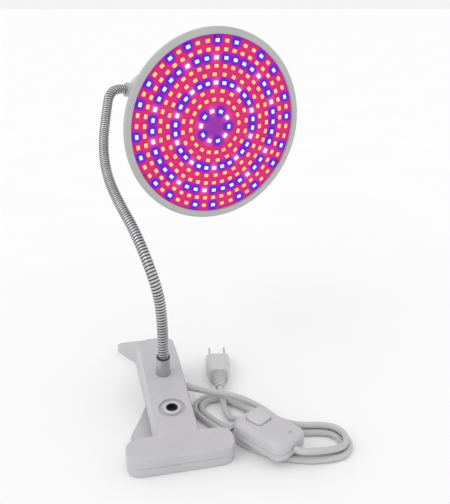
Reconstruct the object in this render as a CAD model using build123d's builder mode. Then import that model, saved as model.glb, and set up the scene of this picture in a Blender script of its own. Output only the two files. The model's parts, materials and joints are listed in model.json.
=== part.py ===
from build123d import *
import os
from math import atan, cos, degrees, radians, sin, sqrt, tan

# LED grow light: a round LED bulb in a lamp holder, on a gooseneck hose that stands on a
# sprung plastic clip. Millimetres, +Z up, the clip's jaws face -Y.

# ---- driving dimensions ----------------------------------------------------------------
foot = Vector(-40.0, -135.6, 0.0)  # point on the ground below the middle of the jaws' front edge

# spring clip
jaw_width = 74.0
jaw_depth = 22.0
jaw_thickness = 7.5
jaw_corner = 9.5
jaw_gap = 0.15
foot_flat = 0.3  # depth ground off the clip's two lowest edges
lower_inset = 0.7  # the lower jaw is this much smaller at each end
pad_width = 60.0
pad_depth = 12.0
pad_thickness = 1.2
arm_reach = 133.0
arm_half_front = 16.4
arm_half_back = 16.6
arm_top_inset = 2.3  # the sides lean in by this much up to the arm's top
arm_wall = 3.3
arm_skirt = 4.0
arm_roof = 2.5
arm_tip_corner = 13.0
tail_reach = 182.0
tail_depth = 35.3
tail_left = 27.5  # the finger tab at the tail spreads to the left
tail_right = 14.5
waist_half = 14.5
shoulder_left = 31.0
shoulder_right = 16.5
pivot_back = 66.0
pivot_drop = 5.0
pin_radius = 2.0
pin_length = 27.0
pin_fit = 0.05
ear_radius = 5.6
ear_thickness = 3.0
upper_ear_inner = 9.7
lower_ear_inner = 6.2

# boss hole in the front of the arm
recess_back = 47.2
recess_radius = 9.6
recess_depth = 1.4
eyelet_radius = 6.8
eyelet_bore = 4.0

# gooseneck
neck_back = 87.0
ferrule_height = 15.0
ferrule_foot_radius = 5.5
ferrule_top_radius = 4.9
dark_ring_height = 1.3
hose_radius = 4.2
hose_bore = 2.9
ball_gap = 0.3  # clearance of each ball end in the cup of the next hose length
lead_radius = 1.9
lead_gap = 0.4
nipple_radius = 3.5
nipple_length = 7.4
nut_flats = 9.6
nut_thickness = 3.0

# head: distances run backwards from the front of the rim
head_centre = foot + Vector(48.9, 112.6, 210.3)
head_yaw = 12.6
head_pitch = 3.6
rim_radius = 70.0
rim_inner = 65.0
rim_depth = 6.0
lip_thickness = 2.2
board_thickness = 1.6
board_radius = 66.6
neck_length = 84.0
shell_radius = 13.1  # screw shell of the 27 mm lamp base
shell_length = 20.0
holder_radius = 17.4
holder_front = 86.5
holder_rear = 138.0
holder_wall = 2.2
dome_centre = 146.0
boss_radius = 6.4
boss_reach = 21.0
thread_shell_radius = 13.4

# diodes
led_length = 3.5
led_width = 2.8
led_height = 0.7
ring_counts = [10, 20, 20, 30, 30, 40, 40, 50, 50]
ring_radii = [11.3, 19.6, 25.7, 31.5, 37.3, 43.1, 48.9, 54.7, 60.6]
ring_starts = [5, 14, 12, 6, 4, 0, 0, 4, 4]  # degrees
ring_colours = ["BW", "R", "R", "BWB", "R", "R", "BBBWBBWB", "R", "RRBRB"]

# supply cord
cord_radius = 2.3
boot_radius = 3.1
boot_length = 13.0
hank_height = 11.0
strand_height = 5.6  # one layer of cord, below the switch
hank_outline = [
    (27.5, 57.0),
    (35.5, 33.0),
    (50.4, 5.8),
    (75.7, -11.4),
    (97.3, -15.8),
    (113.5, -11.5),
    (121.8, 1.3),
    (119.0, 17.0),
    (104.7, 25.8),
    (92.3, 27.4),
    (81.6, 34.2),
    (71.7, 51.8),
    (62.2, 72.7),
    (50.5, 84.0),
    (34.3, 83.2),
    (26.5, 73.0),
]
tie_width = 3.6
tie_wall = 0.7
tie_half = 6.2
tie_height = 6.4
switch_centre = foot + Vector(62.4, 11.6, strand_height)
switch_heading = (0.526, -0.85, 0.0)
switch_length = 46.0
switch_width = 30.0
switch_split = 6.2
switch_height = 14.6
switch_corner = 7.0
button_size = 13.4
button_offset = -9.5
button_travel = 1.5
plug_seat = foot + Vector(48.0, 102.7, 7.6)
plug_heading = Vector(0.18, 0.98, 0.0).normalized()
plug_boot_length = 17.0
plug_length = 26.5
plug_width = 20.0
plug_height = 15.0
blade_gap = 12.7
blade_length = 17.5

os.makedirs("parts", exist_ok=True)


def write(name, builder):
    """Label a finished piece and write it as parts/<name>.step."""
    builder.part.label = name
    export_step(builder.part, f"parts/{name}.step")


# ---- frames ----------------------------------------------------------------------------
# The clip stands on the front edge of its lower jaw and on the end of its tail.
tilt = atan((tail_depth - jaw_thickness) / tail_reach)
clip_plane = Plane(
    origin=foot + Vector(0, 0, jaw_thickness * cos(tilt) - foot_flat),
    x_dir=(1, 0, 0),
    z_dir=(0, -sin(tilt), cos(tilt)),
)
clip_up = Axis(clip_plane.origin, clip_plane.z_dir)
clip_back = Axis(clip_plane.origin, clip_plane.y_dir)
yaw = radians(head_yaw)
pitch = radians(head_pitch)
head_x = Vector(cos(yaw), sin(yaw), 0)
head_back = Vector(-sin(yaw) * cos(pitch), cos(yaw) * cos(pitch), sin(pitch))
head_plane = Plane(origin=head_centre, x_dir=head_x, z_dir=head_back)
head_section = Plane(origin=head_centre, x_dir=head_x, z_dir=head_x.cross(head_back))
head_axis = Axis(head_centre, head_back)


def side_plane(across):
    """Plane of the clip's side profiles: x runs back along the clip, y up from the split."""
    origin = clip_plane.from_local_coords(Vector(across, 0, 0))
    return Plane(origin=origin, x_dir=clip_plane.y_dir, z_dir=clip_plane.x_dir)


def in_clip(across, back, up):
    """A point given in the clip's own directions."""
    return clip_plane.from_local_coords(Vector(across, back, up))


def behind(distance):
    """A point on the head's axis, measured backwards from the rim."""
    return head_centre + head_back * distance


def turned(name, profile):
    """Revolve a (radius, distance back) outline round the head's axis and write it."""
    with BuildPart() as piece:
        with BuildSketch(head_section):
            with BuildLine():
                Polyline(*profile, close=True)
            make_face()
        revolve(axis=head_axis)
    write(name, piece)


# ---- clip: upper half ------------------------------------------------------------------
def arm_outline(inset, start, flare):
    """Outline of the arm seen from above, with a rounded tip and an optional flared root."""
    front = arm_half_front - inset
    back = arm_half_back - inset
    end = arm_reach - inset
    root = [(front + flare, start), (front, start + 8)]
    left = [(-x, y) for x, y in reversed(root)]
    with BuildSketch(mode=Mode.PRIVATE) as outline:
        with BuildLine():
            Polyline((-back, end), *left, *root, (back, end), close=True)
        make_face()
        tips = outline.vertices().group_by(Axis.Y)[-1]
        fillet(tips, radius=arm_tip_corner - inset)
    return outline.sketch


boot_start = in_clip(12.3, 78.0, 1.2)
boot_heading = Vector(0.93, -0.12, -0.34).normalized()
boot_plane = Plane(origin=boot_start, z_dir=boot_heading)
pivot = in_clip(0, pivot_back, -pivot_drop)

section_plane = Plane(origin=clip_plane.origin, x_dir=clip_plane.x_dir, z_dir=clip_plane.y_dir)
with BuildPart() as arm_block:
    with BuildSketch(clip_plane):
        add(arm_outline(0, jaw_depth - 4, 0))
    extrude(amount=jaw_thickness)
    with BuildSketch(section_plane):
        with BuildLine():
            Polyline(
                (-arm_half_front, 0),
                (-arm_half_front + arm_top_inset, -jaw_thickness),
                (arm_half_front - arm_top_inset, -jaw_thickness),
                (arm_half_front, 0),
                close=True,
            )
        make_face()
    extrude(amount=arm_reach, mode=Mode.INTERSECT)

with BuildPart() as upper_jaw:
    with BuildSketch(clip_plane):
        with Locations((0, jaw_depth / 2)):
            RectangleRounded(jaw_width, jaw_depth, jaw_corner)
    extrude(amount=jaw_thickness)
    fillet(upper_jaw.faces().sort_by(clip_up)[-1].edges(), radius=1.2)
    # arm with leaning sides, then its skirt below the split plane
    add(arm_block.part)
    with BuildSketch(clip_plane):
        add(arm_outline(0, jaw_depth + 4, 0))
    extrude(amount=-arm_skirt)
    with BuildSketch(clip_plane.offset(-arm_skirt)):
        add(arm_outline(arm_wall, jaw_depth + 7, 0))
    extrude(amount=arm_skirt + jaw_thickness - arm_roof, mode=Mode.SUBTRACT)
    # pivot ears inside the skirt
    for inner in (upper_ear_inner, -upper_ear_inner - ear_thickness):
        with BuildSketch(side_plane(inner)):
            with Locations((pivot_back, -pivot_drop)):
                Circle(ear_radius)
            with Locations((pivot_back, 0.5)):
                Rectangle(2 * ear_radius, 2 * pivot_drop + 1)
        extrude(amount=ear_thickness)
    with BuildSketch(side_plane(-pin_length)):
        with Locations((pivot_back, -pivot_drop)):
            Circle(pin_radius + 0.02)
    extrude(amount=2 * pin_length, mode=Mode.SUBTRACT)
    # round recess with its eyelet hole, hole of the gooseneck, exit of the cord
    with BuildSketch(clip_plane.offset(jaw_thickness - recess_depth)):
        with Locations((0, recess_back)):
            Circle(recess_radius)
    extrude(amount=recess_depth + 1, mode=Mode.SUBTRACT)
    with BuildSketch(clip_plane):
        with Locations((0, recess_back)):
            Circle(eyelet_radius - 1.4)
        with Locations((0, neck_back)):
            Circle(nipple_radius + 0.1)
    extrude(amount=jaw_thickness + 1, mode=Mode.SUBTRACT)
    with BuildSketch(boot_plane):
        Circle(boot_radius + 0.05)
    extrude(amount=9, mode=Mode.SUBTRACT)
    # seat of the rubber pad under the jaw
    with BuildSketch(clip_plane):
        with Locations((0, jaw_depth / 2)):
            RectangleRounded(pad_width, pad_depth, 3)
    extrude(amount=pad_thickness, mode=Mode.SUBTRACT)
write("upper_jaw", upper_jaw)


def pad(name, base, height):
    """Ribbed rubber pad, from the base height up."""
    with BuildPart() as piece:
        with BuildSketch(clip_plane.offset(base)):
            with Locations((0, jaw_depth / 2)):
                RectangleRounded(pad_width, pad_depth, 3)
        extrude(amount=height)
    write(name, piece)


pad("upper_pad", 0, pad_thickness)
pad("lower_pad", -jaw_gap - pad_thickness, pad_thickness)

# eyelet: a turned collar pressed in the recess, its flange standing as a raised ring
with BuildPart() as eyelet:
    with BuildSketch(clip_plane.offset(jaw_thickness - recess_depth)):
        with Locations((0, recess_back)):
            Circle(eyelet_radius)
            Circle(eyelet_bore, mode=Mode.SUBTRACT)
    extrude(amount=recess_depth + 0.9)
    with BuildSketch(clip_plane.offset(jaw_thickness - arm_roof - 2)):
        with Locations((0, recess_back)):
            Circle(eyelet_radius - 1.45)
            Circle(eyelet_bore, mode=Mode.SUBTRACT)
    extrude(amount=arm_roof + 2 - recess_depth)
    crown = eyelet.faces().sort_by(clip_up)[-1].edges()
    chamfer(crown, length=0.8)
write("hole_eyelet", eyelet)

# ---- clip: lower half ------------------------------------------------------------------
tail_outline = [
    (-tail_left, tail_reach),
    (-tail_left, tail_reach - 6),
    (-waist_half, 152),
    (-waist_half, 78),
    (-shoulder_left, 39),
    (-shoulder_left, 22),
    (3 - shoulder_left, 12),
    (shoulder_right - 3, 12),
    (shoulder_right, 22),
    (shoulder_right, 60),
    (tail_right, 78),
    (tail_right, tail_reach),
]
tail_profile = [
    (10, -jaw_thickness),
    (26, -8.6),
    (60, -15.0),
    (80, -18.3),
    (tail_reach - 8, -tail_depth + 1.3),
    (tail_reach, -tail_depth),
    (tail_reach, -tail_depth + 6.2),
    (80, -13.2),
    (60, -11.6),
    (45, -8.4),
    (jaw_depth + 1, -5.6),
    (10, -5.6),
]

with BuildPart() as lower_jaw:
    with BuildSketch(side_plane(-40)):
        with BuildLine():
            Polyline(*tail_profile, close=True)
        make_face()
    extrude(amount=80)
    with BuildSketch(clip_plane.offset(-50)) as tail_plan:
        with BuildLine():
            Polyline(*tail_outline, close=True)
        make_face()
        fillet(tail_plan.vertices().group_by(Axis.Y)[-1], radius=5)
    extrude(amount=60, mode=Mode.INTERSECT)
    # jaw plate
    with BuildSketch(clip_plane.offset(-jaw_thickness)):
        with Locations((0, jaw_depth / 2)):
            RectangleRounded(jaw_width - 2 * lower_inset, jaw_depth, jaw_corner - lower_inset)
    extrude(amount=jaw_thickness - jaw_gap)
    # hollow underside of the tail
    with BuildSketch(side_plane(-11.5)):
        with BuildLine():
            Polyline((88, -60), (170, -60), (170, -29.6), (88, -17.4), close=True)
        make_face()
    extrude(amount=23, mode=Mode.SUBTRACT)
    # pivot ears
    for inner in (lower_ear_inner, -lower_ear_inner - ear_thickness):
        with BuildSketch(side_plane(inner)):
            with Locations((pivot_back, -pivot_drop)):
                Circle(ear_radius)
            with Locations((pivot_back, -pivot_drop - 5)):
                Rectangle(2 * ear_radius, 10)
        extrude(amount=ear_thickness)
    with BuildSketch(side_plane(-pin_length)):
        with Locations((pivot_back, -pivot_drop)):
            Circle(pin_radius + pin_fit)
    extrude(amount=2 * pin_length, mode=Mode.SUBTRACT)
    with BuildSketch(clip_plane.offset(-jaw_gap - pad_thickness)):
        with Locations((0, jaw_depth / 2)):
            RectangleRounded(pad_width, pad_depth, 3)
    extrude(amount=pad_thickness + 1, mode=Mode.SUBTRACT)
    split(bisect_by=Plane.XY, keep=Keep.TOP)
write("lower_jaw", lower_jaw)

with BuildPart() as pivot_pin:
    with BuildSketch(side_plane(-pin_length / 2)):
        with Locations((pivot_back, -pivot_drop)):
            Circle(pin_radius)
    extrude(amount=pin_length)
write("pivot_pin", pivot_pin)

# torsion spring round the pin, its legs pressing the two halves apart behind the pivot
spring_wire = 0.8
spring_radius = 4.4
spring_length = 10.4
coil_plane = Plane(
    origin=in_clip(-spring_length / 2, pivot_back, -pivot_drop),
    x_dir=clip_plane.y_dir,
    z_dir=clip_plane.x_dir,
)
coil = coil_plane * Helix(pitch=spring_length / 5, height=spring_length, radius=spring_radius)
with BuildPart() as torsion_spring:
    with BuildSketch(Plane(origin=coil @ 0, z_dir=coil % 0)):
        Circle(spring_wire)
    sweep(path=coil)
    for across, leg_end in ((-spring_length / 2, (80, 3.9)), (spring_length / 2, (91, -13.3))):
        start = in_clip(across, pivot_back + spring_radius, -pivot_drop)
        end = in_clip(across, *leg_end)
        with BuildSketch(Plane(origin=start, z_dir=end - start)):
            Circle(spring_wire)
        extrude(amount=(end - start).length)
write("torsion_spring", torsion_spring)

# ---- gooseneck foot --------------------------------------------------------------------
neck_up = clip_plane.z_dir
neck_foot = in_clip(0, neck_back, jaw_thickness)


def neck_stage(height):
    """Plane across the neck's foot, at a height above the arm."""
    return Plane(origin=neck_foot + neck_up * height, x_dir=(1, 0, 0), z_dir=neck_up)


with BuildPart() as base_ferrule:
    with BuildSketch(neck_stage(0)):
        Circle(ferrule_foot_radius)
    with BuildSketch(neck_stage(ferrule_height)):
        Circle(ferrule_top_radius)
    loft()
    with BuildSketch(neck_stage(-nipple_length)):
        Circle(nipple_radius)
    extrude(amount=nipple_length)
    with BuildSketch(neck_stage(-nipple_length)):
        Circle(hose_bore)
    extrude(amount=nipple_length + ferrule_height, mode=Mode.SUBTRACT)
write("base_ferrule", base_ferrule)

with BuildPart() as ferrule_ring:
    with BuildSketch(neck_stage(ferrule_height)):
        Circle(ferrule_top_radius + 0.2)
        Circle(hose_bore, mode=Mode.SUBTRACT)
    extrude(amount=dark_ring_height)
write("ferrule_ring", ferrule_ring)

with BuildPart() as lock_washer:
    with BuildSketch(neck_stage(-arm_roof - 0.8)):
        Circle(5.2)
        Circle(nipple_radius + 0.05, mode=Mode.SUBTRACT)
    extrude(amount=0.8)
write("lock_washer", lock_washer)

with BuildPart() as lock_nut:
    with BuildSketch(neck_stage(-arm_roof - 0.8 - nut_thickness)):
        RegularPolygon(nut_flats / 2, 6, major_radius=False)
        Circle(nipple_radius + 0.05, mode=Mode.SUBTRACT)
    extrude(amount=nut_thickness)
write("lock_nut", lock_nut)

# ---- gooseneck hose --------------------------------------------------------------------
boss_heading = Vector(0.93, 0.30, -0.20).normalized()  # points into the lamp holder
dome_point = behind(dome_centre)
hose_end = dome_point - boss_heading * boss_reach
hose_foot = neck_foot + neck_up * (ferrule_height + dark_ring_height)
hose_route = [
    hose_foot,
    hose_foot + neck_up * 41.0,
    foot + Vector(-6.5, 75.5, 114.0),
    foot + Vector(-14.8, 99.0, 138.5),
    foot + Vector(-23.5, 132.0, 153.0),
    foot + Vector(-28.8, 168.0, 165.5),
    foot + Vector(-28.5, 200.0, 183.0),
    foot + Vector(-23.0, 225.0, 204.0),
    dome_point - boss_heading * (boss_reach + 15.0),
    hose_end,
]
# the hose bends at four places, each halfway along a straight run of the route
bend_runs = [0, 2, 4, 6]
bends = [(hose_route[i] + hose_route[i + 1]) * 0.5 for i in bend_runs]


def corner_radii(points, share):
    """Arc radii that use the given share of the shorter run beside each corner."""
    radii = []
    for before, corner, after in zip(points, points[1:], points[2:]):
        run = min((corner - before).length, (after - corner).length)
        turn = (corner - before).get_angle(after - corner)
        radii.append(share * run / tan(radians(turn / 2)))
    return radii


def smooth_path(points, share):
    """Straight runs joined by tangent arcs, as a wire."""
    if len(points) == 2:
        return Wire([Edge.make_line(*points)])
    return Wire(FilletPolyline(*points, radius=corner_radii(points, share)).edges())


def tube(points, radius, share):
    """Solid rod of the given radius along a route."""
    path = smooth_path(points, share)
    disc = Plane(origin=path @ 0, z_dir=path % 0) * Circle(radius)
    return Solid.sweep(disc.face(), path)


starts = [hose_foot] + bends
ends = bends + [hose_end]
breaks = [0] + [i + 1 for i in bend_runs] + [len(hose_route) - 1]
for number in range(5):
    inner = hose_route[breaks[number] : breaks[number + 1]]
    if number == 0:
        inner = []
    points = [starts[number], *inner, ends[number]]
    share = 0.45 if number < 4 else 0.8
    if number == 4:
        share = 0.42
    last = (points[-1] - points[-2]).normalized()
    outside = tube(points, hose_radius, share)
    hollow = tube(points[:-1] + [points[-1] + last * (hose_radius + 1)], hose_bore, share)
    with BuildPart() as hose_length:
        add(outside)
        if number < 4:
            with Locations(points[-1]):
                Sphere(hose_radius)
        add(hollow, mode=Mode.SUBTRACT)
        if number > 0:
            with Locations(points[0]):
                Sphere(hose_radius + ball_gap, mode=Mode.SUBTRACT)
    write(f"hose_{number + 1}", hose_length)
    first = (points[1] - points[0]).normalized()
    lead_start = points[0] + first * (hose_radius + lead_gap)
    lead_points = [lead_start, *points[1:-1], points[-1] - last * 0.5]
    wires = tube(lead_points, lead_radius, share * 0.95)
    with BuildPart() as lead_length:
        add(wires)
    write(f"lead_{number + 1}", lead_length)

# ---- lamp holder -----------------------------------------------------------------------
turned("holder_shell", [
    (holder_radius - holder_wall, holder_front),
    (holder_radius - 0.4, holder_front),
    (holder_radius, holder_front + 2),
    (holder_radius, holder_rear),
    (holder_radius - holder_wall, holder_rear),
])
turned("holder_core", [
    (0, 113),
    (holder_radius - holder_wall, 113),
    (holder_radius - holder_wall, 133),
    (0, 133),
])
turned("thread_shell", [
    (thread_shell_radius, 89),
    (thread_shell_radius + 0.5, 89),
    (thread_shell_radius + 0.5, 113),
    (thread_shell_radius - 4, 113),
    (thread_shell_radius - 4, 112.5),
    (thread_shell_radius, 112.5),
])
with BuildPart() as holder_cap:
    with Locations(dome_point):
        Sphere(holder_radius)
    with BuildSketch(head_plane.offset(holder_rear)):
        Circle(holder_radius)
    extrude(amount=dome_centre - holder_rear)
    split(bisect_by=head_plane.offset(holder_rear), keep=Keep.TOP)
    with BuildSketch(Plane(origin=hose_end, z_dir=boss_heading)):
        Circle(boss_radius)
    extrude(amount=boss_reach)
    with BuildSketch(head_plane.offset(holder_rear)):
        Circle(holder_radius - holder_wall)
    extrude(amount=dome_centre - holder_rear, mode=Mode.SUBTRACT)
    with Locations(dome_point):
        Sphere(holder_radius - holder_wall, mode=Mode.SUBTRACT)
    with BuildSketch(Plane(origin=hose_end, z_dir=boss_heading)):
        Circle(hose_bore)
    extrude(amount=boss_reach, mode=Mode.SUBTRACT)
write("holder_cap", holder_cap)

with BuildPart() as centre_spring:
    with BuildSketch(head_plane.offset(111.2)):
        Rectangle(14, 5)
    extrude(amount=0.5)
    with BuildSketch(head_plane.offset(111.7)):
        with Locations((5.5, 0)):
            Rectangle(3, 5)
    extrude(amount=1.3)
write("centre_spring", centre_spring)

with BuildPart() as terminal_screws:
    with BuildSketch(head_plane.offset(133)):
        with Locations((7, 0), (-7, 0)):
            Circle(2.6)
    extrude(amount=2.2)
    with BuildSketch(head_plane.offset(134.4)):
        with Locations((7, 0), (-7, 0)):
            Rectangle(5.4, 0.8)
    extrude(amount=1, mode=Mode.SUBTRACT)
write("terminal_screws", terminal_screws)

# ---- bulb ------------------------------------------------------------------------------
turned("rim_bezel", [
    (rim_inner, 0.0),
    (rim_radius - 1.2, 0.0),
    (rim_radius, 1.2),
    (rim_radius, 2.2),
    (rim_radius - 1.9, rim_depth),
    (rim_radius - 3, rim_depth),
    (rim_radius - 3, lip_thickness),
    (rim_inner, lip_thickness),
])
turned("bulb_housing", [
    (rim_radius - 4.4, rim_depth),
    (rim_radius - 2.2, rim_depth),
    (rim_radius - 6.5, rim_depth + 7),
    (52, 27),
    (35, 39),
    (25, 51),
    (19.5, 62),
    (18.2, 74),
    (16.4, 74),
    (17.6, 62),
    (23.2, 51),
    (33.6, 38),
    (51, 25.6),
    (rim_radius - 8.4, rim_depth + 6.4),
])
turned("base_collar", [
    (0, 74),
    (18.2, 74),
    (17.0, 80),
    (14.2, neck_length),
    (0, neck_length),
])
turned("screw_shell", [
    (shell_radius - 0.6, neck_length),
    (shell_radius, neck_length),
    (shell_radius, neck_length + shell_length - 1),
    (shell_radius - 1.2, neck_length + shell_length),
    (shell_radius - 1.8, neck_length + shell_length),
    (shell_radius - 0.6, neck_length + shell_length - 1.6),
])
turned("base_insulator", [
    (0, neck_length + shell_length),
    (11.0, neck_length + shell_length),
    (6.0, neck_length + shell_length + 4.2),
    (0, neck_length + shell_length + 4.2),
])
turned("centre_contact", [
    (0, neck_length + shell_length + 4.2),
    (4.6, neck_length + shell_length + 4.2),
    (3.4, neck_length + shell_length + 6.6),
    (0, neck_length + shell_length + 6.6),
])
turned("heat_spreader", [
    (0, lip_thickness + board_thickness),
    (board_radius - 2, lip_thickness + board_thickness),
    (board_radius - 2, lip_thickness + board_thickness + 1.5),
    (0, lip_thickness + board_thickness + 1.5),
])

with BuildPart() as led_board:
    with BuildSketch(head_plane.offset(lip_thickness)):
        Circle(board_radius)
        with PolarLocations(4.5, 2):
            Circle(0.9, mode=Mode.SUBTRACT)
    extrude(amount=board_thickness)
write("led_board", led_board)


def led_places(colour):
    """Places of one colour's diodes on the board, ring by ring, turning outwards from the centre."""
    places = []
    for count, radius, start, pattern in zip(ring_counts, ring_radii, ring_starts, ring_colours):
        for index in range(count):
            if pattern[index % len(pattern)] == colour:
                angle = start + index * 360 / count
                x = radius * cos(radians(angle))
                y = radius * sin(radians(angle))
                places.append(Location((x, y, 0), (0, 0, angle)))
    return places


for name, colour in (("leds_red", "R"), ("leds_blue", "B"), ("leds_white", "W")):
    with BuildPart(head_plane.offset(lip_thickness - led_height)) as diodes:
        with Locations(*led_places(colour)):
            Box(led_width, led_length, led_height, align=(Align.CENTER, Align.CENTER, Align.MIN))
    write(name, diodes)

with BuildPart() as board_screws:
    with BuildSketch(head_plane.offset(lip_thickness - 1.1)):
        with PolarLocations(63.6, 3, start_angle=30):
            Circle(1.2)
    extrude(amount=1.1)
write("board_screws", board_screws)

driver_plane = head_plane.offset(34)
with BuildPart() as driver_board:
    with BuildSketch(driver_plane):
        Rectangle(26, 1.6)
    extrude(amount=40)
write("driver_board", driver_board)
with BuildPart() as driver_parts:
    with BuildSketch(driver_plane.offset(6)):
        with Locations((-5, 4.9)):
            Circle(4.1)
        with Locations((5, -4.8)):
            Rectangle(11, 8)
    extrude(amount=13)
    with BuildSketch(driver_plane.offset(23)):
        with Locations((4, 3.3)):
            Rectangle(8, 5)
    extrude(amount=8)
write("driver_parts", driver_parts)

# ---- supply cord -----------------------------------------------------------------------
with BuildPart() as cord_boot:
    with BuildSketch(boot_plane):
        Circle(boot_radius)
    with BuildSketch(boot_plane.offset(boot_length)):
        Circle(cord_radius + 0.3)
    loft()
write("cord_boot", cord_boot)

inner_route = [
    neck_foot - neck_up * 3.0,
    neck_foot - neck_up * 11.0,
    boot_start - boot_heading * 3.0,
    boot_start - boot_heading * 0.2,
]
inner_wires = tube(inner_route, 1.4, 0.3)
with BuildPart() as inner_lead:
    add(inner_wires)
write("inner_lead", inner_lead)

# hank: the outer shape of the folded cord, low where the switch lies on it
switch_plane = Plane(origin=switch_centre, x_dir=switch_heading, z_dir=(0, 0, 1))
tie_plane = Plane(origin=foot + Vector(38.8, 34.6, 0.0), x_dir=(0.886, 0.464, 0), z_dir=(0.464, -0.886, 0))

with BuildPart() as cord_hank:
    with BuildSketch(Plane(origin=foot)) as hank_plan:
        with BuildLine():
            Polyline(*hank_outline, close=True)
        make_face()
        fillet(hank_plan.vertices(), radius=6.5)
    extrude(amount=hank_height)
    fillet(cord_hank.faces().sort_by(Axis.Z)[-1].edges(), radius=2.2)
    with BuildSketch(switch_plane):
        Rectangle(switch_length, 3 * switch_width)
    extrude(amount=hank_height, mode=Mode.SUBTRACT)
    with BuildSketch(tie_plane):
        with Locations((0, tie_height / 2)):
            Rectangle(2 * tie_half, tie_height)
            Rectangle(2 * tie_half - 2 * tie_wall, tie_height - 2 * tie_wall, mode=Mode.SUBTRACT)
    extrude(amount=tie_width, mode=Mode.SUBTRACT)
write("cord_hank", cord_hank)

# strap round two of the strands
with BuildPart() as cord_tie:
    with BuildSketch(tie_plane):
        with Locations((0, tie_height / 2)):
            Rectangle(2 * tie_half, tie_height)
            Rectangle(2 * tie_half - 2 * tie_wall, tie_height - 2 * tie_wall, mode=Mode.SUBTRACT)
    extrude(amount=tie_width)
write("cord_tie", cord_tie)


def cord_run(name, points):
    """A free length of the supply cord; prints its length and bend radii."""
    cord = tube(points, cord_radius, 0.45)
    with BuildPart() as piece:
        add(cord)
    write(name, piece)
    length = smooth_path(points, 0.45).length
    radii = [round(radius, 1) for radius in corner_radii(points, 0.45)]
    print(name, "length", round(length, 1), "bend radii", radii)


cord_exit = boot_start + boot_heading * boot_length
cord_run("cord_feed", [
    cord_exit,
    cord_exit + boot_heading * 6.0,
    foot + Vector(36.5, 72.0, 9.0),
])
plug_foot = plug_seat - plug_heading * plug_boot_length
cord_run("plug_lead", [
    plug_foot,
    plug_foot - plug_heading * 13.0,
    foot + Vector(44.0, 60.0, 7.4),
])

# plug
plug_plane = Plane(origin=plug_seat, x_dir=plug_heading.cross(Vector(0, 0, 1)), z_dir=plug_heading)
plug_back = Axis(plug_seat, plug_heading)
with BuildPart() as plug_body:
    with BuildSketch(plug_plane):
        RectangleRounded(plug_width - 5, plug_height - 1.5, 4)
    with BuildSketch(plug_plane.offset(plug_length * 0.45)):
        RectangleRounded(plug_width, plug_height, 4)
    loft()
    with BuildSketch(plug_plane.offset(plug_length * 0.45)):
        RectangleRounded(plug_width, plug_height, 4)
    extrude(amount=plug_length * 0.55)
    fillet(plug_body.faces().sort_by(plug_back)[-1].edges(), radius=1.5)
    with BuildSketch(plug_plane.offset(plug_length - 9)):
        with Locations((blade_gap / 2, 0), (-blade_gap / 2, 0)):
            Rectangle(1.5, 6.4)
    extrude(amount=9, mode=Mode.SUBTRACT)
write("plug_body", plug_body)

with BuildPart() as plug_blades:
    with BuildSketch(plug_plane.offset(plug_length - 9)):
        with Locations((blade_gap / 2, 0), (-blade_gap / 2, 0)):
            Rectangle(1.5, 6.4)
    extrude(amount=9 + blade_length)
    with BuildSketch(Plane(origin=plug_seat, x_dir=plug_heading, z_dir=plug_plane.x_dir).offset(-12)):
        with Locations((plug_length + 12.0, 0)):
            Circle(1.6)
    extrude(amount=24, mode=Mode.SUBTRACT)
write("plug_blades", plug_blades)

with BuildPart() as plug_boot:
    with BuildSketch(plug_plane.offset(-plug_boot_length)):
        Circle(3.3)
    with BuildSketch(plug_plane):
        Circle(5.4)
    loft()
    for step in range(5):
        with BuildSketch(plug_plane.offset(-plug_boot_length + 2.2 + step * 3.0)):
            Circle(8)
            Circle(3.1 + step * 0.36, mode=Mode.SUBTRACT)
        extrude(amount=1.2, mode=Mode.SUBTRACT)
write("plug_boot", plug_boot)

# in-line switch lying on the hank
with BuildPart() as switch_lower:
    with BuildSketch(switch_plane):
        RectangleRounded(switch_length, switch_width, switch_corner)
    extrude(amount=switch_split - 0.2)
    fillet(switch_lower.faces().sort_by(Axis.Z)[0].edges(), radius=3.2)
    with BuildSketch(switch_plane.offset(1.8)):
        RectangleRounded(switch_length - 4, switch_width - 4, switch_corner - 2)
    extrude(amount=switch_split, mode=Mode.SUBTRACT)
    with BuildSketch(switch_plane):
        with Locations((16, 0), (-16, 0)):
            Circle(3.0)
    extrude(amount=switch_split - 0.2)
    with BuildSketch(switch_plane):
        with Locations((16, 0), (-16, 0)):
            Circle(2.2)
    extrude(amount=1.6, mode=Mode.SUBTRACT)
write("switch_lower", switch_lower)

with BuildPart() as switch_upper:
    with BuildSketch(switch_plane.offset(switch_split)):
        RectangleRounded(switch_length, switch_width, switch_corner)
    extrude(amount=switch_height - switch_split)
    fillet(switch_upper.faces().sort_by(Axis.Z)[-1].edges(), radius=4.6)
    with BuildSketch(switch_plane.offset(switch_split)):
        RectangleRounded(switch_length - 4, switch_width - 4, switch_corner - 2)
    extrude(amount=switch_height - switch_split - 2.2, mode=Mode.SUBTRACT)
    with BuildSketch(switch_plane.offset(switch_split)):
        with Locations((button_offset, 0)):
            RectangleRounded(button_size + 0.8, button_size + 0.8, 3)
    extrude(amount=switch_height, mode=Mode.SUBTRACT)
    with BuildSketch(switch_plane.offset(switch_height - 0.6)):
        with Locations((17, 3)):
            Circle(1.4)
    extrude(amount=1, mode=Mode.SUBTRACT)
write("switch_upper", switch_upper)

with BuildPart() as switch_core:
    with BuildSketch(switch_plane.offset(1.8)):
        with Locations((button_offset, 0)):
            Rectangle(button_size - 7, button_size)
    extrude(amount=6.0)
write("switch_core", switch_core)

with BuildPart() as switch_button:
    with BuildSketch(switch_plane.offset(1.8 + 6.0 + button_travel + 0.4)):
        with Locations((button_offset, 0)):
            RectangleRounded(button_size, button_size, 2.7)
    extrude(amount=switch_height + 1.9 - (1.8 + 6.0 + button_travel + 0.4))
    fillet(switch_button.faces().sort_by(Axis.Z)[-1].edges(), radius=1.2)
write("switch_button", switch_button)

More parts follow.
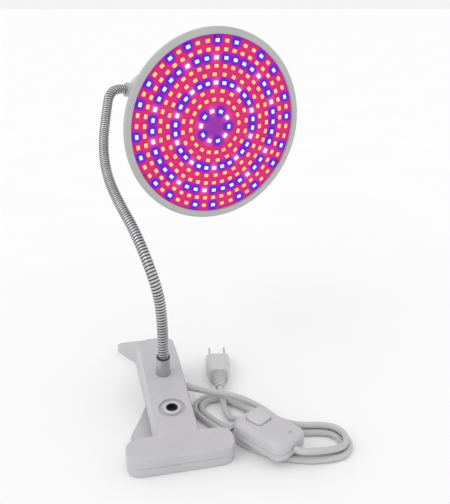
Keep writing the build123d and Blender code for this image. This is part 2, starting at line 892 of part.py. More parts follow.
with BuildPart() as switch_screws:
    with BuildSketch(switch_plane):
        with Locations((16, 0), (-16, 0)):
            Circle(2.2)
    extrude(amount=1.6)
    with BuildSketch(switch_plane):
        with Locations((16, 0), (-16, 0)):
            Rectangle(3.4, 0.7)
            Rectangle(0.7, 3.4)
    extrude(amount=0.9, mode=Mode.SUBTRACT)
write("switch_screws", switch_screws)
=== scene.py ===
"""Looks of the LED grow light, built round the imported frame. Metres, +Z up."""
import json
import math

import bmesh
import bpy
import numpy as np
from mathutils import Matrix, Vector


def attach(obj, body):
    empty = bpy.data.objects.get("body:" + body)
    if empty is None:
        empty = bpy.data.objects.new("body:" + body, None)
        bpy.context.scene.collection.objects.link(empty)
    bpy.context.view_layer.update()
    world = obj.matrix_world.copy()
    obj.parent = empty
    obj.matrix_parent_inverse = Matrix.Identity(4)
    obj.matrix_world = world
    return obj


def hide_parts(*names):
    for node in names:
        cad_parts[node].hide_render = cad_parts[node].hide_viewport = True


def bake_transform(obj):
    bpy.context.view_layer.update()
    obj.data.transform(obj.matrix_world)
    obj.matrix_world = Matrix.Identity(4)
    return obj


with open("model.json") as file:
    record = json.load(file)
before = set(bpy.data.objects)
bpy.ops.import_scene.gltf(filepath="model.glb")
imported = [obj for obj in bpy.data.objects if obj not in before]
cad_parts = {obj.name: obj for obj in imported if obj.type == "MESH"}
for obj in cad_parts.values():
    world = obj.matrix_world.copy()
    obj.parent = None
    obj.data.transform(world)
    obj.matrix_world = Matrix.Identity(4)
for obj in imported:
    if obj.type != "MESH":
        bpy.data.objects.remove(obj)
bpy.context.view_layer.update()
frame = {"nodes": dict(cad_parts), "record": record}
MM = 0.001

# ---- places ----------------------------------------------------------------------------
JOINTS = {joint["name"]: joint for joint in frame["record"]["behaviour"]["joints"]}
MOUNTS = {mount["name"]: mount for mount in frame["record"]["mounts"]}
FOOT = Vector((-40.0, -135.6, 0.0)) * MM


def at(x, y, z):
    """A point counted in millimetres from the foot point below the jaws' front edge."""
    return FOOT + Vector((x, y, z)) * MM


def new_object(name, data):
    """A new object, linked to the scene."""
    made = bpy.data.objects.new(name, data)
    bpy.context.scene.collection.objects.link(made)
    return made


# ---- camera ----------------------------------------------------------------------------
CAMERA_PLACE = (-60.9, -366.1, 291.6)
CAMERA_DOWN = 20.0
CAMERA_TURN = 13.68
CAMERA_LENS = 47.8
CAMERA_SENSOR = 36.0
CAMERA_NEAR = 10 * MM

camera_data = bpy.data.cameras.new("camera")
camera_data.lens = CAMERA_LENS
camera_data.sensor_width = CAMERA_SENSOR
camera_data.clip_start = CAMERA_NEAR
camera = new_object("camera", camera_data)
camera.location = at(*CAMERA_PLACE)
camera.rotation_euler = (math.radians(90 - CAMERA_DOWN), 0, -math.radians(CAMERA_TURN))
bpy.context.scene.camera = camera
bpy.context.scene.view_settings.view_transform = "Standard"

# ---- materials -------------------------------------------------------------------------
# noise scales are counts per metre, bump depths and edge radii are millimetres
CLOUD_SCALE = 38.0
SMUDGE_SCALE = 130.0
SMUDGE_TONE = (0.82, 0.82, 0.82)
SMUDGE_SHARE = 0.12
GRAIN_STRENGTH = 0.35
SCRATCH_SCALE = 700.0
PATCH_SCALE = 60.0
DULL_SHARE = 0.78
SCRATCH_STRENGTH = 0.2
SCRATCH_DEPTH = 0.04
VINYL_CLOUD_SCALE = 55.0
VINYL_MARK_SCALE = 420.0
VINYL_MARK_STRENGTH = 0.25
VINYL_MARK_DEPTH = 0.05
VINYL_SCATTER = 0.06
VINYL_SCATTER_REACH = (2 * MM, 2 * MM, 2 * MM)
GLOW_MOTTLE_SCALE = 900.0
GLOW_GLOSS = 0.12
# painted shade: the colour the hose's grooves are darkened to
GROOVE_SHADE_TONE = (0.04, 0.04, 0.045)
BORE_TONE = 0.03
BORE_EDGE = 0.25
SMOOTH_GRAIN_SCALE = 1400.0
SMOOTH_GRAIN_DEPTH = 0.03
PLAIN = (1, 1, 1)


class Nodes:
    """A short way to write a node material, or to add to one already made."""

    def __init__(self, material):
        self.material = material
        self.material.use_nodes = True
        self.tree = self.material.node_tree
        self.shader = self.tree.nodes["Principled BSDF"]

    def add(self, kind, values=None, **attributes):
        node = self.tree.nodes.new(kind)
        for key, value in attributes.items():
            setattr(node, key, value)
        for key, value in (values or {}).items():
            node.inputs[key].default_value = value
        return node

    def link(self, start, end):
        self.tree.links.new(start, end)

    def feed(self, socket, source):
        """Drive one of the shader's sockets."""
        self.link(source, self.shader.inputs[socket])

    def fix(self, socket, value):
        """Set one of the shader's sockets to a constant."""
        self.shader.inputs[socket].default_value = value

    def source(self, socket):
        """What already drives one of the shader's sockets."""
        return self.shader.inputs[socket].links[0].from_socket

    def noise(self, scale, detail=4.0, roughness=0.55, stretch=None):
        """Noise over the object's own space, stretched where the finish has a direction."""
        place = self.add("ShaderNodeTexCoord").outputs["Object"]
        if stretch:
            mapping = self.add("ShaderNodeMapping", {"Scale": stretch})
            self.link(place, mapping.inputs["Vector"])
            place = mapping.outputs["Vector"]
        node = self.add("ShaderNodeTexNoise", {"Scale": scale, "Detail": detail, "Roughness": roughness})
        self.link(place, node.inputs["Vector"])
        return node.outputs["Fac"]

    def ramp(self, source, low, high, start=0.35, end=0.65):
        """A colour from low to high as the source goes from start to end."""
        node = self.add("ShaderNodeValToRGB")
        first, last = node.color_ramp.elements
        first.position = start
        last.position = end
        first.color = (*low, 1)
        last.color = (*high, 1)
        self.link(source, node.inputs["Fac"])
        return node.outputs["Color"]

    def spread(self, source, low, high):
        """A level from low to high as the source goes from 0 to 1."""
        node = self.add("ShaderNodeMapRange", {"To Min": low, "To Max": high})
        self.link(source, node.inputs["Value"])
        return node.outputs["Result"]

    def multiply(self, base, by, share=1.0):
        """A colour multiplied by another, to the given share."""
        node = self.add("ShaderNodeMix", {"Factor": share}, data_type="RGBA", blend_type="MULTIPLY")
        self.link(base, node.inputs["A"])
        self.link(by, node.inputs["B"])
        return node.outputs["Result"]

    def bump(self, height, strength, depth, edge=0.0):
        """Relief, over edges softened to a radius; both in millimetres."""
        node = self.add("ShaderNodeBump", {"Strength": strength, "Distance": depth * MM})
        self.link(height, node.inputs["Height"])
        if edge:
            soft = self.add("ShaderNodeBevel", {"Radius": edge * MM}, samples=4)
            self.link(soft.outputs["Normal"], node.inputs["Normal"])
        self.feed("Normal", node.outputs["Normal"])


def shaded(colour, share):
    """The same colour, darker."""
    return tuple(c * share for c in colour)


def moulded(name, colour, dark, rough=(0.38, 0.55), grain=900.0, grain_depth=0.06, edge=0.6):
    """Moulded plastic: fine grain, faint clouds of colour, scuffs in the gloss, rounded edges."""
    n = Nodes(bpy.data.materials.new(name))
    clouds = n.ramp(n.noise(CLOUD_SCALE, 5.0), dark, colour)
    smudge = n.noise(SMUDGE_SCALE, 3.0)
    n.feed("Base Color", n.multiply(clouds, n.ramp(smudge, SMUDGE_TONE, PLAIN), SMUDGE_SHARE))
    n.feed("Roughness", n.spread(smudge, *rough))
    n.bump(n.noise(grain, 2.0), GRAIN_STRENGTH, grain_depth, edge)
    return n.material


def metal(name, colour, rough=(0.12, 0.3), stretch=(1, 1, 1), edge=0.3):
    """Plated or drawn metal with fine lines and patches of duller gloss."""
    n = Nodes(bpy.data.materials.new(name))
    n.fix("Metallic", 1.0)
    lines = n.noise(SCRATCH_SCALE, 4.0, 0.6, stretch)
    n.feed("Base Color", n.ramp(n.noise(PATCH_SCALE, 3.0), shaded(colour, DULL_SHARE), colour))
    n.feed("Roughness", n.spread(lines, *rough))
    n.bump(lines, SCRATCH_STRENGTH, SCRATCH_DEPTH, edge)
    return n.material


def soft_vinyl(name, colour, dark, rough=(0.3, 0.5)):
    """Cord sheath: smooth vinyl with a faint unevenness of tone and gloss."""
    n = Nodes(bpy.data.materials.new(name))
    n.feed("Base Color", n.ramp(n.noise(VINYL_CLOUD_SCALE, 4.0), dark, colour))
    marks = n.noise(VINYL_MARK_SCALE, 3.0)
    n.feed("Roughness", n.spread(marks, *rough))
    n.fix("Subsurface Weight", VINYL_SCATTER)
    n.fix("Subsurface Radius", VINYL_SCATTER_REACH)
    n.bump(marks, VINYL_MARK_STRENGTH, VINYL_MARK_DEPTH)
    return n.material


def glowing(name, body, glow, strength, rough=(0.2, 0.4)):
    """A lit surface: its own glow over a lightly mottled body."""
    n = Nodes(bpy.data.materials.new(name))
    mottle = n.noise(GLOW_MOTTLE_SCALE, 3.0)
    n.feed("Base Color", n.ramp(mottle, shaded(body, 0.85), body))
    n.feed("Roughness", n.spread(mottle, *rough))
    n.feed("Emission Color", n.ramp(mottle, shaded(glow, 0.9), glow, 0.2, 0.6))
    n.fix("Emission Strength", strength)
    n.fix("Specular IOR Level", GLOW_GLOSS)
    return n.material


def grooved_chrome(name, colour):
    """Plated metal with painted shade darkening the grooves between its ribs."""
    n = Nodes(metal(name, colour, (0.1, 0.24), edge=0.0))
    crest = n.add("ShaderNodeAttribute", attribute_name="crest").outputs["Fac"]
    # painted shade: the metal's colour darkened to near black down in the grooves, left plain on the
    # crests
    painted_groove_shade = n.ramp(crest, GROOVE_SHADE_TONE, PLAIN, 0.45, 0.98)
    n.feed("Base Color", n.multiply(n.source("Base Color"), painted_groove_shade))
    return n.material


def smooth_plastic(name, colour, dark):
    """Glossier moulded plastic with a finer grain."""
    return moulded(name, colour, dark, (0.28, 0.42), SMOOTH_GRAIN_SCALE, SMOOTH_GRAIN_DEPTH)


def shaded_bore(name, colour, centre, axis, radius):
    """Smooth plastic ring whose bore, within a radius of its axis, lies in deep shade."""
    n = Nodes(smooth_plastic(name, colour, shaded(colour, 0.94)))
    place = n.add("ShaderNodeTexCoord").outputs["Object"]
    out = n.add("ShaderNodeVectorMath", {1: centre}, operation="SUBTRACT")
    n.link(place, out.inputs[0])
    cross = n.add("ShaderNodeVectorMath", {1: axis}, operation="CROSS_PRODUCT")
    n.link(out.outputs["Vector"], cross.inputs[0])
    away = n.add("ShaderNodeVectorMath", operation="LENGTH")
    n.link(cross.outputs["Vector"], away.inputs[0])
    inside = n.add("ShaderNodeMapRange", {"From Min": radius, "From Max": radius + BORE_EDGE * MM,
                                          "To Min": BORE_TONE, "To Max": 1.0})
    n.link(away.outputs["Value"], inside.inputs["Value"])
    n.feed("Base Color", n.multiply(n.source("Base Color"), inside.outputs["Result"]))
    return n.material


white = moulded("white_plastic", (0.565, 0.56, 0.578), (0.53, 0.525, 0.545))
white_gloss = smooth_plastic("white_gloss", (0.60, 0.60, 0.61), (0.565, 0.565, 0.575))
rim_grey = moulded("rim_plastic", (0.50, 0.50, 0.49), (0.47, 0.47, 0.46), (0.42, 0.6), edge=0.8)
rubber_grey = moulded("pad_rubber", (0.33, 0.33, 0.34), (0.26, 0.26, 0.27), (0.7, 0.9), 500.0, 0.15)
dark_plastic = moulded("dark_trim", (0.045, 0.045, 0.05), (0.03, 0.03, 0.035), (0.3, 0.5))
cream = moulded("phenolic", (0.62, 0.58, 0.48), (0.52, 0.48, 0.4), (0.5, 0.7))
green_board = moulded("circuit_green", (0.03, 0.16, 0.06), (0.02, 0.1, 0.04), (0.25, 0.4), 300.0, 0.1)
ferrule_metal = metal("ferrule_metal", (0.5, 0.5, 0.51), (0.28, 0.45))
nickel = metal("nickel", (0.62, 0.61, 0.59))
steel = metal("steel", (0.5, 0.5, 0.5), (0.25, 0.45), (1, 1, 8))
brass = metal("brass", (0.72, 0.5, 0.2), (0.2, 0.4))
lit_steel = metal("lit_steel", (0.5, 0.03, 0.2), (0.3, 0.5))  # screw heads in the board's own glow
aluminium = metal("aluminium", (0.78, 0.78, 0.79), (0.3, 0.5), (1, 8, 1))
chrome = grooved_chrome("hose_chrome", (0.70, 0.70, 0.715))
vinyl = soft_vinyl("cord_vinyl", (0.57, 0.57, 0.57), (0.52, 0.52, 0.525))
vinyl_boot = soft_vinyl("boot_vinyl", (0.57, 0.57, 0.565), (0.5, 0.5, 0.5), (0.4, 0.6))

EYELET_SHADE_RADIUS = 4.1
hole = MOUNTS["hanging_hole"]
ringed = shaded_bore("eyelet_plastic", (0.60, 0.60, 0.61), tuple(hole["pos_m"]), tuple(hole["axis"]),
                     EYELET_SHADE_RADIUS * MM)

FINISHES = [
    (white, ["upper_jaw", "lower_jaw", "holder_shell", "holder_cap", "switch_lower", "switch_upper"]),
    (white_gloss, ["led_board", "plug_body", "switch_button"]),
    (rim_grey, ["rim_bezel", "bulb_housing", "base_collar"]),
    (rubber_grey, ["upper_pad", "lower_pad"]),
    (dark_plastic, ["ferrule_ring", "base_insulator", "driver_parts", "switch_core"]),
    (cream, ["holder_core"]),
    (green_board, ["driver_board"]),
    (ringed, ["hole_eyelet"]),
    (ferrule_metal, ["base_ferrule"]),
    (nickel, ["lock_nut", "screw_shell", "plug_blades"]),
    (steel, ["pivot_pin", "torsion_spring", "lock_washer", "terminal_screws", "centre_contact",
             "switch_screws"]),
    (brass, ["thread_shell", "centre_spring"]),
    (lit_steel, ["board_screws"]),
    (aluminium, ["heat_spreader"]),
    (vinyl, ["inner_lead", "lead_1", "lead_2", "lead_3", "lead_4", "lead_5"]),
    (vinyl_boot, ["cord_boot", "cord_tie", "plug_boot"]),
]
for material, nodes in FINISHES:
    for node in nodes:
        mesh = frame["nodes"][node].data
        mesh.materials.clear()
        mesh.materials.append(material)


# ---- mesh and curve helpers ------------------------------------------------------------
def put(name, vertices, faces, material, smooth=True):
    """A new mesh object from plain lists."""
    mesh = bpy.data.meshes.new(name)
    mesh.from_pydata([tuple(v) for v in vertices], [], faces)
    mesh.validate()
    if smooth:
        mesh.shade_smooth()
    mesh.materials.append(material)
    return new_object(name, mesh)


def face_outwards(thing):
    """Turn the faces of a closed mesh to look outwards."""
    mesh = bmesh.new()
    mesh.from_mesh(thing.data)
    bmesh.ops.recalc_face_normals(mesh, faces=mesh.faces)
    mesh.to_mesh(thing.data)
    mesh.free()


def ring_faces(start, next_start, around):
    """Quads between two rings of vertices, given by the numbers of their first ones."""
    faces = []
    for j in range(around):
        k = (j + 1) % around
        faces.append((start + j, start + k, next_start + k, next_start + j))
    return faces


def smooth_curve(name, points, resolution):
    """A curve object of one smooth spline with these control points."""
    curve = bpy.data.curves.new(name, "CURVE")
    curve.dimensions = "3D"
    spline = curve.splines.new("NURBS")
    spline.points.add(len(points) - 1)
    for control, point in zip(spline.points, points):
        control.co = (*at(*point), 1.0)
    spline.order_u = 3
    spline.use_endpoint_u = True
    spline.resolution_u = resolution
    return new_object(name, curve)


# ---- supply cord -----------------------------------------------------------------------
CORD_DIAMETER = 4.6 * MM
CORD_RESOLUTION = 10
CORD_BEVEL_STEPS = 5
FLOOR_LANE = 2.4  # height of a strand's middle on the table
UPPER_LANE = 7.1  # height of one that lies on two others
OUTER_LANE = 18.6  # distances of the strands from the hank's middle line
INNER_LANE = 13.4
LIFTED_LANE = 16.0
FOLD_STEP = 45.0
FOLD_SPREAD = 1.06  # the points of a fold stand out this much, because the spline cuts inside them
# middle line of the hank and the direction across it
HANK = [(39, 65.5, 24.5), (53, 42, 27.6), (66, 20, 42.4), (84, 8, 66.8), (101, 5, 80.0)]


def across(index, offset, height):
    """A point beside the hank's middle line."""
    x, y, turn = HANK[index]
    return (x + offset * math.cos(math.radians(turn)), y + offset * math.sin(math.radians(turn)), height)


def lane(offset, height, order):
    """Points of one strand that runs along the hank."""
    return [across(index, offset, height) for index in order]


def fold(index, start, offset, heights):
    """Points round one end of the hank, turning clockwise seen from above."""
    x, y, _ = HANK[index]
    reach = FOLD_SPREAD * offset
    points = []
    for step, height in enumerate(heights, start=1):
        turn = math.radians(start - FOLD_STEP * step)
        points.append((x + reach * math.cos(turn), y + reach * math.sin(turn), height))
    return points


def right_fold(offset, height):
    return fold(4, HANK[4][2], offset, [height] * 3)


def left_fold(offset, heights):
    return fold(0, HANK[0][2] + 180.0, offset, heights)


EXIT = (24.42, 75.36, 15.65)
feed_points = [
    EXIT, (30.0, 74.64, 13.6), (38.0, 72.0, 12.6), (47.0, 68.0, 12.3), (56.0, 62.5, 11.0),
    (64.0, 56.0, 8.9), (71.0, 49.5, 6.4), (76.6, 41.0, 3.8), (82.0, 32.4, FLOOR_LANE),
    *lane(OUTER_LANE, FLOOR_LANE, (3, 4)),
    *right_fold(OUTER_LANE, FLOOR_LANE),
    *lane(-OUTER_LANE, FLOOR_LANE, (4, 3, 2, 1, 0)),
    *left_fold(OUTER_LANE, [FLOOR_LANE] * 3),
    across(0, OUTER_LANE, FLOOR_LANE), across(1, 15.5, FLOOR_LANE),
    *lane(INNER_LANE, FLOOR_LANE, (2, 3, 4)),
    *right_fold(INNER_LANE, FLOOR_LANE),
    *lane(-INNER_LANE, FLOOR_LANE, (4, 3, 2, 1, 0)),
    *left_fold(INNER_LANE, [FLOOR_LANE, FLOOR_LANE, 2.5]),
    across(0, INNER_LANE, 2.8), across(1, 12.3, 6.4), across(2, LIFTED_LANE, 7.3),
    *lane(LIFTED_LANE, UPPER_LANE, (3, 4)),
    *right_fold(LIFTED_LANE, UPPER_LANE),
    (98.2, -10.8, 8.4), (88.6, -13.1, 11.2), (77.6, -13.1, 12.0), (74.7, -8.4, 12.0),
]
plug_points = [
    (50.3, 31.1, 12.0), (47.2, 36.2, 11.0), (44.2, 43.0, 6.6), (43.5, 51.0, 3.0),
    (43.2, 60.0, 2.8), (43.5, 68.0, 4.8), (44.2, 76.5, 7.5), (44.93, 85.98, 7.6),
]


def flex(name, points):
    """A free cord as one smooth spline."""
    made = smooth_curve(name, points, CORD_RESOLUTION)
    made.data.bevel_depth = CORD_DIAMETER / 2
    made.data.bevel_resolution = CORD_BEVEL_STEPS
    made.data.use_fill_caps = True
    made.data.materials.append(vinyl)
    return made


feed_flex = flex("feed_flex", feed_points)
plug_flex = flex("plug_flex", plug_points)
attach(feed_flex, "clip")
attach(plug_flex, "clip")
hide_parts("cord_hank", "cord_feed")
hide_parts("plug_lead")

# ---- gooseneck hose --------------------------------------------------------------------
ROUTE = [
    (0.0, 82.41, 43.78), (0.0, 76.22, 84.31), (-6.5, 75.5, 114.0), (-14.8, 99.0, 138.5),
    (-23.5, 132.0, 153.0), (-28.8, 168.0, 165.5), (-28.5, 200.0, 183.0), (-23.0, 225.0, 204.0),
    (-16.45, 243.98, 226.69), (-2.47, 248.49, 223.68),
]
ROUTE_RESOLUTION = 60
RIB_PITCH = 2.35
RIB_DEPTH = 0.55
RIB_FULLNESS = 0.6  # under 1 the crests are broad and the grooves narrow
HOSE_RADIUS = 4.2
RINGS_PER_RIB = 8
AROUND = 40
SKINS = [
    ("neck_bend_1", "clip", "neck_a", ["hose_1"]),
    ("neck_bend_2", "neck_a", "neck_b", ["hose_2"]),
    ("neck_bend_3", "neck_b", "neck_c", ["hose_3"]),
    ("neck_bend_4", "neck_c", "holder", ["hose_4", "hose_5"]),
]


def spline_points(points, resolution):
    """Points along the smooth spline through a route, in metres."""
    guide = smooth_curve("route", points, resolution)
    bpy.context.view_layer.update()
    mesh = bpy.data.meshes.new_from_object(guide)
    found = np.array([v.co[:] for v in mesh.vertices], float)
    curve = guide.data
    bpy.data.objects.remove(guide)
    bpy.data.curves.remove(curve)
    bpy.data.meshes.remove(mesh)
    return found


def carried_sides(headings):
    """A direction square to each heading, carried along the line without twisting."""
    side = np.cross(headings[0], (1.0, 0.0, 0.0))
    sides = []
    for heading in headings:
        side = side - heading * side.dot(heading)
        side /= np.linalg.norm(side)
        sides.append(side.copy())
    return np.array(sides)


line = spline_points(ROUTE, ROUTE_RESOLUTION)
run = np.concatenate([[0.0], np.cumsum(np.linalg.norm(np.diff(line, axis=0), axis=1))])
stations = np.arange(0.0, run[-1], RIB_PITCH * MM / RINGS_PER_RIB)
centres = np.stack([np.interp(stations, run, line[:, k]) for k in range(3)], axis=1)
headings = np.gradient(centres, axis=0)
headings /= np.linalg.norm(headings, axis=1)[:, None]
sides = carried_sides(headings)
ups = np.cross(headings, sides)
turns = np.linspace(0.0, 2 * math.pi, AROUND, endpoint=False)


def rib(station):
    """How far each point round the hose stands up its rib, from 0 in the groove to 1."""
    phase = station / (RIB_PITCH * MM) - turns / (2 * math.pi)
    return np.abs(np.sin(math.pi * phase)) ** RIB_FULLNESS


def hose_skin(name, first, last):
    """Ribbed skin of the hose between two stations, closed at both ends."""
    vertices, crests = [], []
    for i in range(first, last + 1):
        crest = rib(stations[i])
        crests.append(crest)
        radii = (HOSE_RADIUS - RIB_DEPTH * (1 - crest)) * MM
        out = (np.cos(turns) * radii)[:, None] * sides[i] + (np.sin(turns) * radii)[:, None] * ups[i]
        vertices.extend((centres[i] + out).tolist())
    rings = last - first + 1
    faces = []
    for i in range(rings - 1):
        faces.extend(ring_faces(i * AROUND, (i + 1) * AROUND, AROUND))
    faces.append(tuple(reversed(range(AROUND))))
    faces.append(tuple(range((rings - 1) * AROUND, rings * AROUND)))
    skin = put(name, vertices, faces, chrome)
    skin.data.polygons[-1].use_smooth = skin.data.polygons[-2].use_smooth = False
    shade = skin.data.attributes.new("crest", "FLOAT", "POINT")
    shade.data.foreach_set("value", np.concatenate(crests).astype(np.float32))
    return skin


bends = [Vector(JOINTS[joint]["pos_m"]) for joint, *_ in SKINS]
marks = [int(np.argmin(np.linalg.norm(centres - np.array(bend), axis=1))) for bend in bends]
cuts = [0, *((a + b) // 2 for a, b in zip(marks, marks[1:])), len(stations) - 1]
for number, (_, before, after, covered) in enumerate(SKINS):
    skin = hose_skin(f"hose_skin_{number + 1}", cuts[number], cuts[number + 1])
    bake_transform(skin)
    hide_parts(*covered)

# ---- torsion spring: a copy of its wire stands in for the part -------------------------
spring = new_object("spring_wire", frame["nodes"]["torsion_spring"].data.copy())
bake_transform(spring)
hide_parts("torsion_spring")

# ---- lit board -------------------------------------------------------------------------
HEAD_CENTRE = Vector(JOINTS["bulb_unscrew"]["pos_m"])
head_back = -Vector(JOINTS["bulb_unscrew"]["axis"])
head_x = Vector((head_back.y, -head_back.x, 0.0)).normalized()
head_y = head_back.cross(head_x)
RING_COUNTS = [10, 20, 20, 30, 30, 40, 40, 50, 50]
RING_RADII = [11.3, 19.6, 25.7, 31.5, 37.3, 43.1, 48.9, 54.7, 60.6]
RING_STARTS = [5, 14, 12, 6, 4, 0, 0, 4, 4]
RING_COLOURS = ["BW", "R", "R", "BWB", "R", "R", "BBBWBBWB", "R", "RRBRB"]
BOARD_FRONT = 2.2
BOARD_BACK = 3.8
BOARD_RADIUS = 66.6
BOARD_RINGS = 74
BOARD_AROUND = 300


def on_head(x, y, behind):
    """A point of the lamp's head: across, down and backwards from its rim's middle, in millimetres."""
    return HEAD_CENTRE + (head_x * x + head_y * y + head_back * behind) * MM


diodes = []
for count, radius, start, pattern in zip(RING_COUNTS, RING_RADII, RING_STARTS, RING_COLOURS):
    for index in range(count):
        turn = math.radians(start + index * 360 / count)
        kind = pattern[index % len(pattern)]
        diodes.append((kind, radius * math.cos(turn), radius * math.sin(turn), turn))


def linear(*levels):
    """Colour levels from 0 to 255 as the shader's linear values."""
    return tuple(((v / 255 + 0.055) / 1.055) ** 2.4 if v > 10 else v / 255 / 12.92 for v in levels)


GLOW = np.array(linear(222, 46, 136))
CENTRE_GLOW = np.array(linear(150, 52, 168))
CENTRE_REACH = 12.5
EDGE_GLOW = np.array(linear(160, 36, 150))
EDGE_START = 64.0
EDGE_LEAN = 1.6  # the edge's shade reaches this much further in on the upper left
EDGE_SOFTNESS = 0.5
BACK_SHARE = 0.3
# each colour of diode: the tint it gives the board, how far it reaches and how strongly
SPOTS = {
    "R": (np.array(linear(214, 18, 66)), 2.1, 2.6),
    "B": (np.array(linear(62, 0, 214)), 2.35, 14.0),
    "W": (np.array(linear(226, 100, 190)), 2.2, 3.2),
}
SPOT_FALL = 0.8


def board_colours(x, y):
    """The glow on the board at many places: the field's colour pulled towards each diode's near it."""
    away = np.hypot(x, y)
    centre = np.exp(-((away / CENTRE_REACH) ** 4))[:, None]
    upper_left = np.clip(-(0.6 * x + 0.8 * y) / np.maximum(away, 1.0), 0.0, 1.0)
    edge_start = EDGE_START - EDGE_LEAN * upper_left
    edge = (1 / (1 + np.exp(-(away - edge_start) / EDGE_SOFTNESS)))[:, None]
    colour = GLOW * (1 - centre) + CENTRE_GLOW * centre
    colour = colour * (1 - edge) + EDGE_GLOW * edge
    total = 1.0
    for kind, cx, cy, _ in diodes:
        tint, reach, power = SPOTS[kind]
        distance = ((x - cx) ** 2 + (y - cy) ** 2)[:, None]
        pull = power * np.exp(-SPOT_FALL * distance / reach ** 2)
        colour = colour + tint * pull
        total = total + pull
    return colour / total


def lit_board():
    """The board's solder mask in the diodes' light, lightly mottled."""
    n = Nodes(bpy.data.materials.new("lit_board"))
    glow = n.add("ShaderNodeAttribute", attribute_name="glow").outputs["Color"]
    mottle = n.noise(420.0, 3.0)
    n.feed("Roughness", n.spread(mottle, 0.25, 0.45))
    n.feed("Emission Color", n.multiply(glow, n.ramp(mottle, (0.6, 0.6, 0.7), PLAIN), 0.16))
    n.feed("Base Color", n.ramp(mottle, (0.02, 0.004, 0.01), (0.035, 0.008, 0.02)))
    n.fix("Emission Strength", 1.0)
    n.fix("Specular IOR Level", GLOW_GLOSS)
    n.bump(mottle, 0.2, 0.08)
    return n.material


def board_face():
    """The board as a fine polar mesh, closed at the back, with its glow as a colour of each vertex."""
    turns = np.linspace(0.0, 2 * math.pi, BOARD_AROUND, endpoint=False)
    radii = np.linspace(BOARD_RADIUS / BOARD_RINGS, BOARD_RADIUS, BOARD_RINGS)
    flat = np.array([(0.0, 0.0)] + [(r * math.cos(t), r * math.sin(t)) for r in radii for t in turns])
    vertices = [on_head(x, y, BOARD_FRONT) for x, y in flat]
    vertices += [on_head(x, y, BOARD_BACK) for x, y in flat[-BOARD_AROUND:]]
    faces = [(0, 1 + (j + 1) % BOARD_AROUND, 1 + j) for j in range(BOARD_AROUND)]
    for ring in range(BOARD_RINGS):
        start = 1 + ring * BOARD_AROUND
        faces.extend(ring_faces(start, start + BOARD_AROUND, BOARD_AROUND))
    faces.append(tuple(range(len(flat), len(vertices))))
    made = put("board_face", vertices, faces, lit_board())
    face_outwards(made)
    glow = np.ones((len(vertices), 4), np.float32)
    glow[: len(flat), :3] = board_colours(flat[:, 0], flat[:, 1])
    glow[len(flat):, :3] = EDGE_GLOW * BACK_SHARE
    layer = made.data.color_attributes.new("glow", "FLOAT_COLOR", "POINT")
    layer.data.foreach_set("color", glow.ravel())
    return made


board = board_face()
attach(board, "bulb")
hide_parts("led_board")

# ---- diodes: a package with a rounded front edge, and a domed lens in it ---------------
PACKAGE = {
    "R": ("red", glowing("package_red", (0.08, 0.002, 0.01), linear(206, 12, 56), 1.0),
          glowing("lens_red", (0.1, 0.08, 0.05), linear(255, 200, 140), 1.1)),
    "B": ("blue", glowing("package_blue", (0.01, 0.002, 0.08), linear(36, 0, 205), 1.0),
          glowing("lens_blue", (0.06, 0.09, 0.1), linear(205, 240, 255), 1.12)),
    "W": ("white", glowing("package_white", (0.08, 0.05, 0.07), linear(238, 160, 214), 1.0),
          glowing("lens_white", (0.1, 0.1, 0.1), linear(255, 244, 240), 1.15)),
}
LED_HALF_WIDE = 1.4
LED_HALF_LONG = 1.75
LED_FRONT = 1.5
LED_EDGE = 0.12
LENS_RIM = (1.26, 1.62, 0.5)  # half width, half length and corner radius
LENS_SHOULDER = (1.18, 1.54, 0.5)
LENS_MIDDLE = (0.5, 0.66, 0.3)
LOOP_POINTS = 16


def rounded(half_x, half_y, corner):
    """Points of a rounded rectangle."""
    points = []
    for k in range(LOOP_POINTS):
        turn = 2 * math.pi * (k + 0.5) / LOOP_POINTS
        cx = math.copysign(half_x - corner, math.cos(turn))
        cy = math.copysign(half_y - corner, math.sin(turn))
        points.append((cx + corner * math.cos(turn), cy + corner * math.sin(turn)))
    return points


# outlines of a diode from the board outwards, each with its distance behind the rim's plane
LOOPS = [
    (rounded(LED_HALF_WIDE, LED_HALF_LONG, 0.3), BOARD_FRONT),
    (rounded(LED_HALF_WIDE, LED_HALF_LONG, 0.3), LED_FRONT + LED_EDGE),
    (rounded(LED_HALF_WIDE - LED_EDGE, LED_HALF_LONG - LED_EDGE, 0.25), LED_FRONT),
    (rounded(*LENS_RIM), LED_FRONT),
    (rounded(*LENS_SHOULDER), LED_FRONT + 0.1),
    (rounded(*LENS_MIDDLE), LED_FRONT + 0.04),
]
LENS_LEVEL = 3  # faces from this outline on are the lens


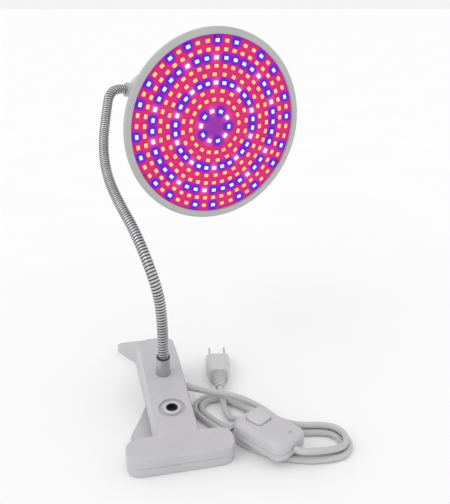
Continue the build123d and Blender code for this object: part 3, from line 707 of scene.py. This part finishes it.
def diode_group(name, kind, package, lens):
    """All the diodes of one colour as one mesh of separate closed solids."""
    vertices, faces, slots = [], [], []
    for _, cx, cy, turn in (diode for diode in diodes if diode[0] == kind):
        first = len(vertices)
        for loop, behind in LOOPS:
            for x, y in loop:
                vertices.append(on_head(cx + x * math.cos(turn) - y * math.sin(turn),
                                        cy + x * math.sin(turn) + y * math.cos(turn), behind))
        for level in range(len(LOOPS) - 1):
            start = first + level * LOOP_POINTS
            faces.extend(ring_faces(start, start + LOOP_POINTS, LOOP_POINTS))
            slots.extend([1 if level >= LENS_LEVEL else 0] * LOOP_POINTS)
        faces.append(tuple(range(len(vertices) - LOOP_POINTS, len(vertices))))
        faces.append(tuple(reversed(range(first, first + LOOP_POINTS))))
        slots.extend([1, 0])
    made = put(name, vertices, faces, package, smooth=False)
    made.data.materials.append(lens)
    made.data.polygons.foreach_set("material_index", slots)
    face_outwards(made)
    return made


for kind, (word, package, lens) in PACKAGE.items():
    made = diode_group(f"diodes_{word}", kind, package, lens)
    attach(made, "bulb")
    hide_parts(f"leds_{word}")

# ---- floor and light -------------------------------------------------------------------
FLOOR_SIZE = 400.0
FLOOR_DROP = 0.2  # millimetres below the object's feet
WORLD_STRENGTH = 0.91
KEY_STRENGTH = 0.5
KEY_WIDTH = 45
KEY_PLACE = Vector((-0.9, -0.3, 1.1))
KEY_TARGET = Vector((0.0, 0.0, 0.12))

bpy.ops.mesh.primitive_plane_add(size=FLOOR_SIZE, location=(0, 0, -FLOOR_DROP * MM))
floor = bpy.context.object
floor.name = "floor"
n = Nodes(bpy.data.materials.new("floor_paper"))
n.feed("Base Color", n.ramp(n.noise(8.0, 2.0), (0.955, 0.955, 0.955), (0.965, 0.965, 0.965)))
n.fix("Roughness", 0.9)
floor.data.materials.append(n.material)

world = bpy.data.worlds.new("studio")
world.use_nodes = True
background = world.node_tree.nodes["Background"]
background.inputs["Color"].default_value = (1, 1, 1, 1)
background.inputs["Strength"].default_value = WORLD_STRENGTH
bpy.context.scene.world = world

key_light = bpy.data.lights.new("key", "SUN")
key_light.energy = KEY_STRENGTH
key_light.angle = math.radians(KEY_WIDTH)
key = new_object("key", key_light)
key.location = KEY_PLACE
key.rotation_euler = (KEY_TARGET - KEY_PLACE).to_track_quat("-Z", "Y").to_euler()
